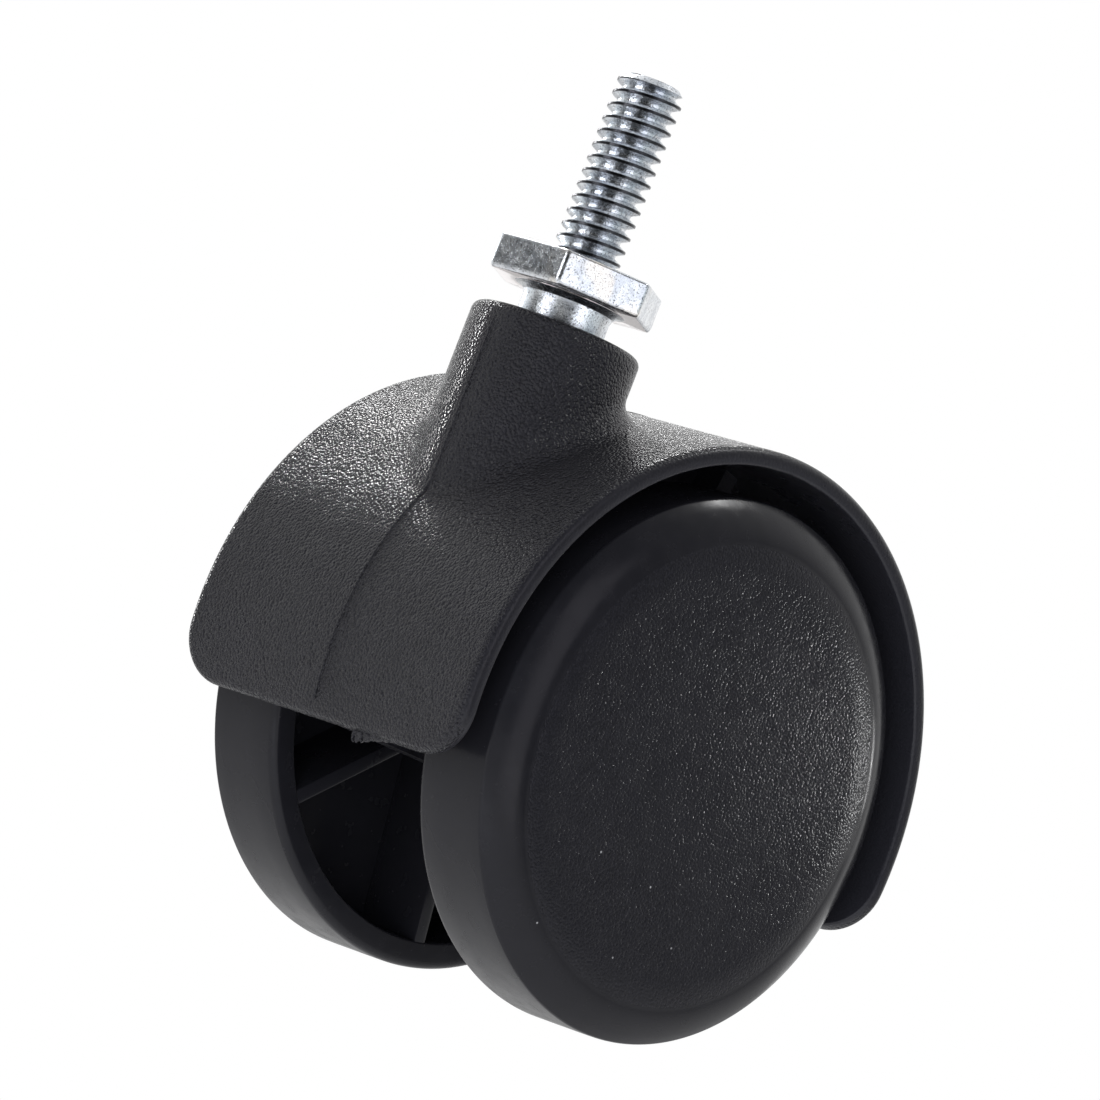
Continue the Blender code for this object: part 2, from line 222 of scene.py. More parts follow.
def about_axle(profile, count, side=1):
    """Rings about the axle from (r, distance along it) points, on the side +1 (+Y) or -1 (-Y)."""
    turn = np.linspace(0.0, math.tau, count, endpoint=False)
    cos, sin = np.cos(turn), np.sin(turn)
    return [np.stack([TRAIL + r * cos, np.full(count, side * h), r * sin - DROP], -1) for r, h in profile]


def lathe(name, profile, place, count, crease_deg=30.0, **where):
    """A turned solid. A profile that starts and ends on the axis gets a pole there, else it's a ring."""
    on_axis = profile[0][0] == 0.0
    rings = place(profile[1:-1] if on_axis else profile, count, **where)
    if not on_axis:
        return ring_mesh(name, rings, crease_deg=crease_deg)
    ends = [place([p], 1, **where)[0][0] for p in (profile[0], profile[-1])]
    return ring_mesh(name, rings, *ends, crease_deg=crease_deg)


def rounded_outline(centres, corner, count):
    """Evenly spaced points round a rounded polygon, and the outward normal at each.
    The centres of its corner arcs go anticlockwise."""
    points, normals = [], []
    total = len(centres)
    edges = [np.subtract(centres[(i + 1) % total], centres[i]) for i in range(total)]
    for i, centre in enumerate(centres):
        start = math.atan2(-edges[i - 1][0], edges[i - 1][1])
        end = math.atan2(-edges[i][0], edges[i][1])
        for angle in np.linspace(start, start + (end - start) % math.tau, 60):
            normals.append((math.cos(angle), math.sin(angle)))
            points.append(np.add(centre, np.multiply(corner, normals[-1])))
    points = np.array(points + points[:1])
    normals = np.array(normals + normals[:1])
    along = np.concatenate([[0.0], np.cumsum(np.linalg.norm(np.diff(points, axis=0), axis=1))])
    at = np.linspace(0.0, along[-1], count, endpoint=False)
    point = np.stack([np.interp(at, along, points[:, k]) for k in (0, 1)], -1)
    normal = np.stack([np.interp(at, along, normals[:, k]) for k in (0, 1)], -1)
    return point, normal / np.linalg.norm(normal, axis=1, keepdims=True)


def slerp(start, end, share):
    angle = np.arccos(np.clip((start * end).sum(-1, keepdims=True), -1, 1))
    return (np.sin((1 - share) * angle) * start + np.sin(share * angle) * end) / np.sin(angle)


def working_object(mesh):
    obj = bpy.data.objects.new("working", mesh)
    bpy.context.scene.collection.objects.link(obj)
    return obj


def modified(mesh, kind, **settings):
    """The mesh after one modifier."""
    obj = working_object(mesh)
    modifier = obj.modifiers.new(kind, kind)
    for key, value in settings.items():
        setattr(modifier, key, value)
    bpy.context.view_layer.update()
    graph = bpy.context.evaluated_depsgraph_get()
    result = bpy.data.meshes.new_from_object(obj.evaluated_get(graph))
    bpy.data.objects.remove(obj)
    result.name = mesh.name
    return result


def solid_boolean(target, other, operation):
    """Joins, cuts or intersects two meshes and gives the result."""
    tool = working_object(other)
    result = modified(target, "BOOLEAN", operation=operation, solver="EXACT", object=tool)
    bpy.data.objects.remove(tool)
    return result


def box_mesh(name, low, high, place=Matrix()):
    x, y, z = zip(low, high)
    points = [place @ Vector((a, b, c)) for a in x for b in y for c in z]
    faces = [(0, 1, 3, 2), (4, 6, 7, 5), (0, 4, 5, 1), (2, 3, 7, 6), (0, 2, 6, 4), (1, 5, 7, 3)]
    return mesh_of(name, points, faces)


# Materials


class Nodes:
    """Short calls for a material's or the world's node tree."""

    def __init__(self, tree):
        self.tree = tree

    def add(self, kind, settings=(), **inputs):
        node = self.tree.nodes.new(kind)
        for key, value in dict(settings).items():
            setattr(node, key, value)
        for key, value in inputs.items():
            name = int(key[1:]) if key[0] == "_" else key.replace("_", " ")
            self.feed(node.inputs[name], value)
        return node

    def feed(self, socket, value):
        if isinstance(value, bpy.types.NodeSocket):
            self.tree.links.new(value, socket)
        else:
            socket.default_value = value

    def math(self, operation, *values):
        settings = {"operation": operation}
        return self.add("ShaderNodeMath", settings, **{f"_{i}": v for i, v in enumerate(values)}).outputs[0]

    def noise(self, where, size, detail=2.0, roughness=0.5):
        """Noise of a given feature size in millimetres."""
        inputs = {"Vector": where, "Scale": 1 / (size * MM), "Detail": detail, "Roughness": roughness}
        return self.add("ShaderNodeTexNoise", **inputs).outputs["Fac"]

    def times(self, first, *others):
        for other in others:
            first = self.math("MULTIPLY", first, other)
        return first

    def plus(self, first, second):
        return self.math("ADD", first, second)

    def above(self, value, limit):
        """1 where the value passes the limit, else 0."""
        return self.math("GREATER_THAN", value, limit)

    def along(self, where, direction):
        settings = {"operation": "DOT_PRODUCT"}
        return self.add("ShaderNodeVectorMath", settings, _0=where, _1=direction).outputs["Value"]

    def parts(self, where):
        return self.add("ShaderNodeSeparateXYZ", Vector=where).outputs

    def cells(self, where, size):
        """Distance from the nearest of points scattered a given distance apart in millimetres,
        counted in that distance."""
        return self.add("ShaderNodeTexVoronoi", Vector=where, Scale=1 / (size * MM)).outputs["Distance"]

    def pebbles(self, where, size):
        """Domes a given distance apart in millimetres, packed at random."""
        distance = self.cells(where, size)
        return self.times(distance, distance, -1.0)

    def ramp(self, value, low, high, to_low=0.0, to_high=1.0):
        node = self.add("ShaderNodeMapRange", {"interpolation_type": "SMOOTHSTEP"}, Value=value)
        for name, number in (("From Min", low), ("From Max", high), ("To Min", to_low), ("To Max", to_high)):
            self.feed(node.inputs[name], number)
        return node.outputs[0]

    def mix(self, share, first, second):
        node = self.add("ShaderNodeMix", {"data_type": "RGBA"})
        for i, value in ((0, share), (6, first), (7, second)):
            self.feed(node.inputs[i], value)
        return node.outputs[2]

    def bump(self, height, depth, normal=None):
        """Relief of a given depth in millimetres."""
        node = self.add("ShaderNodeBump", Height=height, Distance=depth * MM)
        if normal is not None:
            self.feed(node.inputs["Normal"], normal)
        return node.outputs[0]


def new_material(name, metallic, settings=()):
    material = bpy.data.materials.new(name)
    material.use_nodes = True
    nodes = Nodes(material.node_tree)
    shader = material.node_tree.nodes["Principled BSDF"]
    shader.inputs["Metallic"].default_value = metallic
    for key, value in dict(settings).items():
        shader.inputs[key].default_value = value
    where = nodes.add("ShaderNodeTexCoord").outputs["Object"]
    return material, nodes, shader, where


def dress(nodes, shader, base, rough, normal):
    for socket, value in (("Base Color", base), ("Roughness", rough), ("Normal", normal)):
        nodes.feed(shader.inputs[socket], value)


def grey(level, tint=(1.0, 1.0, 1.0)):
    return (level * tint[0], level * tint[1], level * tint[2], 1.0)


COOL = (0.95, 0.94, 1.13)
STAIN = grey(0.07, COOL)
DUST = grey(0.35)


def axle_distance(nodes, parts):
    """Distance from the axle's line, of a point given by its X, Y and Z."""
    along = nodes.plus(parts["X"], -TRAIL * MM)
    up = nodes.plus(parts["Z"], DROP * MM)
    return nodes.math("SQRT", nodes.plus(nodes.times(along, along), nodes.times(up, up)))


def dusty(nodes, where, base):
    """The base colour with a few bright specks of dust."""
    speck = nodes.ramp(nodes.cells(where, 4.5), 0.016, 0.030, 1.0, 0.0)
    chosen = nodes.above(nodes.noise(where, 9.0), 0.50)
    return nodes.mix(nodes.times(speck, chosen), base, DUST)


def hood_nylon():
    """Pebbled grain outside, smooth inside and on the wall's side faces, at the hood's full width."""
    settings = {"IOR": 1.5, "Specular IOR Level": 0.30}
    material, nodes, shader, where = new_material("hood_nylon", 0.0, settings)
    parts = nodes.parts(where)
    across = nodes.math("ABSOLUTE", parts["Y"])
    side_face = nodes.ramp(across, (HOOD_HALF - 0.5) * MM, (HOOD_HALF - 0.15) * MM)
    distance = axle_distance(nodes, parts)
    inner_r = HOOD_R - HOOD_WALL
    inside = nodes.ramp(distance, (inner_r + 0.4) * MM, (inner_r + 1.0) * MM, 1.0, 0.0)
    painted_fill_wall = nodes.times(inside, nodes.above(distance, (inner_r - 0.2) * MM))
    plain = nodes.math("MAXIMUM", side_face, inside)

    fine = nodes.noise(where, 0.19)
    grain = nodes.plus(nodes.pebbles(where, 0.28), nodes.times(fine, 0.45))
    grain = nodes.times(grain, nodes.ramp(plain, 0.0, 1.0, 1.0, 0.12))
    normal = nodes.bump(grain, 0.17, nodes.bump(nodes.noise(where, 6.0, 1.0), 0.05))

    patches = nodes.noise(where, 5.0, 4.0)
    base = nodes.mix(nodes.ramp(patches, 0.25, 0.75), grey(0.0135, COOL), grey(0.0165, COOL))
    base = nodes.mix(nodes.ramp(fine, 0.35, 0.75), base, grey(0.022, COOL))
    # Painted fill light: the hood's inner wall is coloured a little lighter, lifting the shade inside the
    # hood.
    base = nodes.mix(painted_fill_wall, base, grey(0.023, COOL))
    rough = nodes.ramp(nodes.noise(where, 2.2, 3.0), 0.3, 0.7, 0.15, 0.21)
    dress(nodes, shader, dusty(nodes, where, base), nodes.plus(rough, nodes.times(plain, 0.12)), normal)
    return material


def wheel_nylon():
    """A grained disc, with a ragged edge, in a smooth and slightly glossy wheel."""
    settings = {"IOR": 1.5, "Specular IOR Level": 0.23}
    material, nodes, shader, where = new_material("wheel_nylon", 0.0, settings)
    parts = nodes.parts(where)
    outward = nodes.math("ABSOLUTE", parts["Y"])
    ragged = nodes.plus(axle_distance(nodes, parts), nodes.times(nodes.noise(where, 0.5), 0.25 * MM))
    disc = nodes.ramp(ragged, (DISC_R + 0.05) * MM, (DISC_R + 0.18) * MM, 1.0, 0.0)
    disc = nodes.times(disc, nodes.above(outward, (FACE_Y - 0.3) * MM))

    fine = nodes.noise(where, 0.18)
    grain = nodes.plus(nodes.pebbles(where, 0.26), nodes.times(fine, 0.4))
    grain = nodes.times(grain, nodes.ramp(disc, 0.0, 1.0, 0.03, 1.0))
    normal = nodes.bump(grain, 0.030, nodes.bump(nodes.noise(where, 3.5), 0.020))

    patches = nodes.noise(where, 6.0, 4.0)
    base = nodes.mix(nodes.ramp(patches, 0.25, 0.75), grey(0.0125, COOL), grey(0.0145, COOL))
    base = nodes.mix(nodes.times(disc, nodes.ramp(fine, 0.4, 0.75)), base, grey(0.022, COOL))
    scuffs = nodes.ramp(nodes.noise(where, 1.6, 4.0), 0.35, 0.7, 0.20, 0.28)
    dress(nodes, shader, dusty(nodes, where, base), nodes.plus(scuffs, nodes.times(disc, -0.03)), normal)
    return material


def metal_layers(nodes, where, bright, dark, roughness):
    """Cloudy colour with small stains, the stains, the height of fine pits, and roughness."""
    clouds = nodes.noise(where, 1.8, 4.0, 0.6)
    pits = nodes.noise(where, 0.18, 3.0, 0.7)
    stains = nodes.ramp(pits, 0.56, 0.63)
    base = nodes.mix(nodes.ramp(clouds, 0.35, 0.68), bright, dark)
    base = nodes.mix(nodes.times(stains, 0.8), base, STAIN)
    rough = nodes.ramp(nodes.noise(where, 0.5, 3.0), 0.3, 0.7, roughness, roughness + 0.14)
    return base, stains, pits, rough


def bare_steel(name, bright, dark, roughness):
    material, nodes, shader, where = new_material(name, 1.0)
    base, _, pits, rough = metal_layers(nodes, where, bright, dark, roughness)
    dress(nodes, shader, base, rough, nodes.bump(pits, 0.006))
    return material


WARM_PATCH_SIDE = (-0.43, -0.90, 0.0)  # the way the collar's side with the warm, lighter patches faces


def bright_zinc():
    """Zinc plate. The collar has warm, lighter patches on one side and a smooth underside painted a
    pale pinkish white as a reflection of the bright background; above it the thread has blotchy relief and
    crests painted dark as lines of shade."""
    material, nodes, shader, where = new_material("bright_zinc", 1.0)
    bright, dark = grey(0.86, (0.97, 1.0, 1.03)), grey(0.62, (0.94, 1.0, 1.08))
    base, stains, pits, rough = metal_layers(nodes, where, bright, dark, 0.14)
    parts = nodes.parts(where)
    thread = nodes.above(parts["Z"], 0.1 * MM)
    above_foot = nodes.above(parts["Z"], -(HEX_HEIGHT + 0.02) * MM)
    underside = nodes.ramp(parts["Z"], -(HEX_HEIGHT - 0.02) * MM, -HEX_HEIGHT * MM)
    underside = nodes.times(underside, above_foot)

    # Warm, lighter patches over the collar, strongest on one of its sides.
    collar = nodes.ramp(parts["Z"], -(HEX_HEIGHT + 0.3) * MM, -HEX_HEIGHT * MM)
    collar = nodes.times(collar, nodes.math("SUBTRACT", 1.0, thread))
    toward_warm_side = nodes.ramp(nodes.along(where, WARM_PATCH_SIDE), 5.0 * MM, 6.8 * MM, 0.1, 1.0)
    warm_patches = nodes.ramp(nodes.noise(where, 3.2), 0.44, 0.60, 0.0, 0.9)
    base = nodes.mix(nodes.times(collar, toward_warm_side, warm_patches), base, grey(0.90, (1.0, 0.95, 0.87)))
    base = nodes.mix(nodes.times(stains, 0.5), base, STAIN)
    # Painted reflection: the smooth underside is coloured pale pinkish white, as the bright background it
    # mirrors.
    base = nodes.mix(underside, base, grey(0.94, (1.0, 0.93, 0.92)))

    x, y = parts["X"], parts["Y"]
    radius = nodes.math("SQRT", nodes.plus(nodes.times(x, x), nodes.times(y, y)))
    # Painted shade: the thread's crests are coloured nearly black, to draw dark lines along them.
    crest_shade = nodes.times(nodes.ramp(radius, (THREAD_R - 0.09) * MM, (THREAD_R - 0.03) * MM), thread)
    base = nodes.mix(nodes.times(crest_shade, 0.96), base, grey(0.02, COOL))

    pits = nodes.times(pits, nodes.ramp(underside, 0.0, 1.0, 1.0, 0.05))
    dents = nodes.times(nodes.noise(where, 0.42), nodes.ramp(thread, 0.0, 1.0, 0.2, 1.0))
    dents = nodes.times(dents, nodes.ramp(underside, 0.0, 1.0, 1.0, 0.0))
    rough = nodes.times(rough, nodes.ramp(underside, 0.0, 1.0, 1.0, 0.4))
    dress(nodes, shader, base, rough, nodes.bump(dents, 0.045, nodes.bump(pits, 0.018)))
    return material


def floor_material():
    material, nodes, shader, where = new_material("studio_floor", 0.0)
    shade = nodes.noise(where, 300.0)
    nodes.feed(shader.inputs["Base Color"], nodes.mix(shade, grey(0.84), grey(0.88)))
    shader.inputs["Roughness"].default_value = 0.8
    return material


# Hood


HOOD_COLUMNS = 640
AXIS_ANGLE = math.acos(-TRAIL / HOOD_R)  # of the point where the stem's axis leaves the hood
LIP_ANGLE = math.asin(LIP_DROP / HOOD_R)  # how far below the horizontal each lip is
FRONT_LIP = HOOD_R * (AXIS_ANGLE - math.pi - LIP_ANGLE)  # as arc_x
REAR_LIP = HOOD_R * (AXIS_ANGLE + LIP_ANGLE)


def on_hood(arc_x, y, radius):
    """Points at a radius about the axle.
    arc_x runs round the hood's outside, from the stem's axis to the rear."""
    angle = AXIS_ANGLE - arc_x / HOOD_R
    return np.stack([TRAIL + radius * np.cos(angle), y + 0.0 * angle, radius * np.sin(angle) - DROP], -1)


def arc_position(x, z):
    """arc_x of a point given from the axle."""
    return HOOD_R * (AXIS_ANGLE - np.arctan2(z, x))


def hood_outline():
    """The hood's edge in (arc_x, y), inset by its outer fillet, and the outward normal."""
    front = FRONT_LIP + LIP_CORNER
    rear = REAR_LIP - LIP_CORNER
    half = HOOD_HALF - LIP_CORNER
    centres = [(front, -half), (rear, -half), (rear, half), (front, half)]
    return rounded_outline(centres, LIP_CORNER - HOOD_EDGE, HOOD_COLUMNS)


def neck_fillet_radius(turn):
    """Wide in front, tight behind, where the neck is short."""
    return 2.6 - 1.6 * np.cos(turn)


def fillet_rings(turn, steps):
    """The blend from the neck to the hood that a ball would roll, and where it ends on the hood."""
    ball = neck_fillet_radius(turn)
    x = (NECK_R + ball) * np.cos(turn) - TRAIL
    y = (NECK_R + ball) * np.sin(turn)
    z = np.sqrt((HOOD_R + ball) ** 2 - x**2)
    centre = np.stack([x + TRAIL, y, z - DROP], -1)
    to_neck = np.stack([-np.cos(turn), -np.sin(turn), 0 * turn], -1)
    to_hood = np.stack([-x, 0 * turn, -z], -1) / (HOOD_R + ball)[:, None]
    rings = [centre + ball[:, None] * slerp(to_neck, to_hood, k / steps) for k in range(steps + 1)]
    return rings, arc_position(x, z), y


def socket_rings(turn, steps):
    """The blend from the hood's inside to the socket, and where it starts."""
    ball = SOCKET_FILLET
    inner = HOOD_R - HOOD_WALL
    x = (NECK_R + ball) * np.cos(turn) - TRAIL
    y = (NECK_R + ball) * np.sin(turn)
    z = np.sqrt((inner - ball) ** 2 - x**2)
    centre = np.stack([x + TRAIL, y, z - DROP], -1)
    to_hood = np.stack([x, 0 * turn, z], -1) / (inner - ball)
    to_socket = np.stack([-np.cos(turn), -np.sin(turn), 0 * turn], -1)
    rings = [centre + ball * slerp(to_hood, to_socket, k / steps) for k in range(steps + 1)]
    return rings, arc_position(x, z), y


def hood_mesh():
    """The shell from the socket's floor up the bore, over the neck and the outside to the edge,
    then back along the inside to the socket's foot."""
    edge, normal = hood_outline()
    turn = np.arctan2(edge[:, 1], edge[:, 0])
    cos, sin = np.cos(turn), np.sin(turn)

    def level(radius, z):
        return np.stack([radius * cos, radius * sin, z + 0 * turn], -1)

    def edge_ring(inset, depth):
        at = edge + normal * (HOOD_EDGE - inset)
        return on_hood(at[:, 0], at[:, 1], HOOD_R - depth)

    bore = rounded([(BORE_R, SOCKET_FLOOR, 0), *groove(BORE_R, BORE_GROOVE_R, *BORE_GROOVE)])
    flat_top = (6.0, NECK_TOP, 0)
    mouth = [(BORE_R, -30.0, 0), (BORE_R, NECK_TOP - 0.5, 0.1), (BORE_R + 0.5, NECK_TOP, 0.1)]
    mouth = rounded([*mouth, flat_top], 2)
    rim = rounded([flat_top, (NECK_R, NECK_TOP, NECK_EDGE), (NECK_R, -8.0, 0)], 5)[1:-1]
    rings = [level(r, z) for r, z in bore + mouth + rim]
    blend, start_x, start_y = fillet_rings(turn, 12)
    straight = rings[-1]
    rings += [straight + (blend[0] - straight) * k / 8 for k in range(1, 8)]
    rings += blend

    rows = 44
    for k in range(1, rows + 1):
        share = (k / rows) ** 1.15
        arc_x = start_x + (edge[:, 0] - start_x) * share
        y = start_y + (edge[:, 1] - start_y) * share
        rings.append(on_hood(arc_x, y, HOOD_R))
    for k in range(1, 6):
        angle = math.pi / 2 * k / 5
        rings.append(edge_ring(HOOD_EDGE * (1 - math.sin(angle)), HOOD_EDGE * (1 - math.cos(angle))))
    for k in range(0, 4):
        angle = math.pi / 2 * k / 3
        inset = HOOD_INNER_EDGE * (1 - math.cos(angle))
        rings.append(edge_ring(inset, HOOD_WALL - HOOD_INNER_EDGE * (1 - math.sin(angle))))

    inner_edge = edge + normal * (HOOD_EDGE - HOOD_INNER_EDGE)
    blend, end_x, end_y = socket_rings(turn, 5)
    rows = 26
    for k in range(1, rows):
        share = 1 - (1 - k / rows) ** 1.15
        arc_x = inner_edge[:, 0] + (end_x - inner_edge[:, 0]) * share
        y = inner_edge[:, 1] + (end_y - inner_edge[:, 1]) * share
        rings.append(on_hood(arc_x, y, HOOD_R - HOOD_WALL))
    rings += blend
    foot = -DROP - LIP_DROP + SOCKET_FOOT_RISE
    foot_edge = rounded([(NECK_R, -DROP, 0), (SOCKET_FOOT_R, foot, 0.5), (2.0, foot, 0)], 3)
    wall = [level(r, z) for r, z in foot_edge[1:]]
    rings += [blend[-1] + (wall[0] - blend[-1]) * k / 5 for k in range(1, 5)]
    rings += wall
    return ring_mesh("hood_shell", rings, (0.0, 0.0, SOCKET_FLOOR), (0.0, 0.0, foot))


def hood_web_mesh():
    """Centre plate, axle boss and ribs under the hood, in one moulding."""
    reach = HOOD_R - HOOD_WALL / 2  # halfway into the hood's wall
    plate_r = reach - 0.1
    plate_bottom = 0.5 - LIP_DROP
    count = 160
    angles = np.linspace(-LIP_ANGLE, math.pi + LIP_ANGLE, count)
    rim = [(TRAIL + plate_r * math.cos(a), max(plate_r * math.sin(a), plate_bottom) - DROP) for a in angles]
    points = [(x, y, z) for y in (-PLATE_HALF, PLATE_HALF) for x, z in rim]
    faces = [list(range(count)), list(range(2 * count - 1, count - 1, -1))]
    faces += [(i, (i + 1) % count, count + (i + 1) % count, count + i) for i in range(count)]
    web = mesh_of("hood_web", points, faces)

    boss = rounded(mirrored([(0.0, BOSS_HALF, 0), (BOSS_R, BOSS_HALF, 0.4)]), 3)
    web = solid_boolean(web, lathe("boss", boss, about_axle, 96), "UNION")
    low = (BOSS_R - 1.0, -HOOD_RIB_HALF, -HOOD_RIB_THICKNESS / 2)
    high = (reach, HOOD_RIB_HALF, HOOD_RIB_THICKNESS / 2)
    for angle in HOOD_RIB_DEGS:
        place = Matrix.Translation(AXLE) @ Matrix.Rotation(math.radians(-angle), 4, "Y")
        web = solid_boolean(web, box_mesh("rib", low, high, place), "UNION")
    bore_r = AXLE_R + 0.05
    bore = mirrored([(0.0, BOSS_HALF + 2), (bore_r, BOSS_HALF + 2)])
    web = solid_boolean(web, lathe("bore", bore, about_axle, 96), "DIFFERENCE")
    smooth(web)
    return web


def parting_paths():
    """Points along the mould's parting line: up from the front lip to the neck's top, and down from
    there to the rear lip."""
    paths = []
    for turn, lip, lip_side in ((math.pi, FRONT_LIP, -1), (0.0, REAR_LIP, 1)):
        blend, arc_x, _ = fillet_rings(np.array([turn]), 10)
        along = np.linspace(lip - lip_side * HOOD_EDGE, arc_x[0], 60)
        path = [on_hood(np.array([a]), 0.0, HOOD_R)[0] for a in along[:-1]]
        path += [ring[0] for ring in reversed(blend)]
        heights = np.linspace(blend[0][0][2], NECK_TOP - NECK_EDGE, 12)[1:]
        path += [np.array([NECK_R * math.cos(turn), 0.0, z]) for z in heights]
        paths.append(path if lip_side < 0 else path[::-1])
    return paths


def parting_mesh(name, line):
    """A fine ridge of flash along a line in the centre plane, which fades out at both ends."""
    foot_half = 0.12
    top_half = 0.05
    sink = 0.06
    rise = 0.11
    fade_length = 1.5
    line = np.array(line)
    tangent = np.gradient(line, axis=0)
    outward = np.stack([-tangent[:, 2], 0 * tangent[:, 0], tangent[:, 0]], -1)
    outward /= np.linalg.norm(outward, axis=1, keepdims=True)
    across = np.array([0.0, 1.0, 0.0])
    along = np.concatenate([[0.0], np.cumsum(np.linalg.norm(np.diff(line, axis=0), axis=1))])
    fade = np.clip(np.minimum(along, along[-1] - along) / fade_length, 0.0, 1.0)
    rings = []
    for point, out, share in zip(line, outward, fade):
        top = rise * share - sink
        ridge = ((-foot_half, -sink), (-top_half, top), (top_half, top), (foot_half, -sink))
        rings.append([point + across * y + out * h for y, h in ridge])
    return ring_mesh(name, rings, line[0] - outward[0] * 0.02, line[-1] - outward[-1] * 0.02)


def gate_vestige_mesh():
    """The torn stub that the mould's gate left under the front lip."""
    rng = np.random.default_rng(5)
    count, rows = 12, 26
    start_y, length = -5.3, 4.2
    middle_x, root_z = TRAIL - 28.0, -DROP - LIP_DROP + 0.35
    turn = np.linspace(0.0, math.tau, count, endpoint=False)
    cos, sin = np.cos(turn), np.sin(turn)
    rings = []
    for share in np.linspace(0.0, 1.0, rows):
        depth = (0.75 - 0.6 * share) * (1.0 + rng.uniform(-0.25, 0.25))
        if share in (0.0, 1.0):
            depth *= 0.7
        jitter = rng.uniform(-0.07, 0.07, (count, 2))
        x = middle_x + 0.42 * cos + jitter[:, 0]
        z = root_z + np.where(sin < 0, depth * 1.35, 0.3) * sin + jitter[:, 1]
        rings.append(np.stack([x, start_y - length * share + 0 * turn, z], -1))
    ends = [rings[k].mean(axis=0) for k in (0, -1)]
    return ring_mesh("gate_vestige", rings, *ends)


# Wheels


def wheel_mesh(name, side):
    """A cup, closed on the outside, whose hub has a groove for the clip."""
    start_r = DISC_R + 0.12
    dome_y = FACE_Y - DISC_STEP
    steps = np.linspace(0.0, 1.0, 12)
    dome = [(start_r + (DOME_R - start_r) * t, dome_y - DOME_DROP * t**DOME_POWER, 0) for t in steps]
    crown = [(DISC_R * t, FACE_Y + DISC_CROWN * (1 - t**2), 0) for t in np.linspace(0.15, 1.0, 8)]
    corners = [
        (0.0, FACE_Y + DISC_CROWN, 0), *crown, *dome,
        (WHEEL_R - 0.02, 17.95, 0.45), (WHEEL_R, 16.6, 0), (WHEEL_R, 13.0, 0), (WHEEL_R, WHEEL_INNER_Y, 0.8),
        (RIM_INNER_R, WHEEL_INNER_Y, 0.3), (RIM_INNER_R - 0.4, CUP_FLOOR_Y, 1.0),
        (HUB_R, CUP_FLOOR_Y, 0.6), (HUB_R, WHEEL_INNER_Y, 0.2), (HUB_BORE_R, WHEEL_INNER_Y, 0.3),
        *groove(HUB_BORE_R, HUB_GROOVE_R, *HUB_GROOVE),
        (HUB_BORE_R, HUB_BORE_END, 0), (0.0, HUB_BORE_END, 0),
    ]
    return lathe(name, rounded(corners, 5), about_axle, 256, crease_deg=40.0, side=side)


def wheel_ribs_mesh(name, side):
    """The ribs between the wheel's hub and rim."""
    inner_r, outer_r = WHEEL_RIB_REACH
    low_y, high_y = sorted((side * (WHEEL_INNER_Y + 0.08), side * WHEEL_RIB_END_Y))
    low, high = (inner_r, low_y, -WHEEL_RIB_HALF), (outer_r, high_y, WHEEL_RIB_HALF)
    meshes = []
    for i in range(WHEEL_RIBS):
        turn = Matrix.Rotation(-math.radians(FIRST_RIB_DEG + i * 360 / WHEEL_RIBS), 4, "Y")
        meshes.append(box_mesh(name, low, high, Matrix.Translation(AXLE) @ turn))
    shape = bmesh.new()
    for mesh in meshes:
        shape.from_mesh(mesh)
    mesh = bpy.data.meshes.new(name)
    shape.to_mesh(mesh)
    shape.free()
    edges = {"limit_method": "ANGLE", "angle_limit": math.radians(35.0)}
    mesh = modified(mesh, "BEVEL", width=0.18 * MM, segments=2, **edges)
    smooth(mesh)
    return mesh


# Stem


def thread_mesh():
    """A V thread as a grid whose rows wind up the stem, so that the crests stay crisp."""
    root = THREAD_R - THREAD_DEPTH
    form = [  # share of the pitch, share of the depth
        (-0.09, 0.0), (0.09, 0.0), (0.14, 0.10), (0.38, 0.90),
        (0.43, 1.0), (0.57, 1.0), (0.62, 0.90), (0.86, 0.10),
    ]
    turns = math.ceil(THREAD_LENGTH / THREAD_PITCH) + 4
    rows = len(form) * turns
    count = 160
    points = np.zeros((rows, count, 3))
    angle = np.linspace(0.0, math.tau, count, endpoint=False)
    for k in range(rows):
        share, height = form[k % len(form)]
        radius = root + THREAD_DEPTH * height
        z = THREAD_PITCH * (k // len(form) - 2.5 + share + angle / math.tau)
        points[k] = np.stack([radius * np.cos(angle), radius * np.sin(angle), z], -1)
    index = np.arange(rows * count).reshape(rows, count)
    step = len(form)
    faces = []
    for k in range(rows - 1):
        low, high = index[k], index[k + 1]
        faces += [(low[j], low[j + 1], high[j + 1], high[j]) for j in range(count - 1)]
        if k + 1 + step < rows:
            faces.append((index[k, -1], index[k + step, 0], index[k + 1 + step, 0], index[k + 1, -1]))
    points = list(points.reshape(-1, 3))
    low_loop = [*index[0], *index[step:0:-1, 0]]
    high_loop = [*index[-1], *index[-2 : -2 - step : -1, -1]]
    for loop, z, turned in ((low_loop, -6.0, True), (high_loop, THREAD_LENGTH + 6.0, False)):
        points.append((0.0, 0.0, z))
        pole = len(points) - 1
        for a, b in zip(loop, loop[1:] + loop[:1]):
            faces.append((b, a, pole) if turned else (a, b, pole))
    return mesh_of("stem_thread", points, [tuple(map(int, f)) for f in faces])


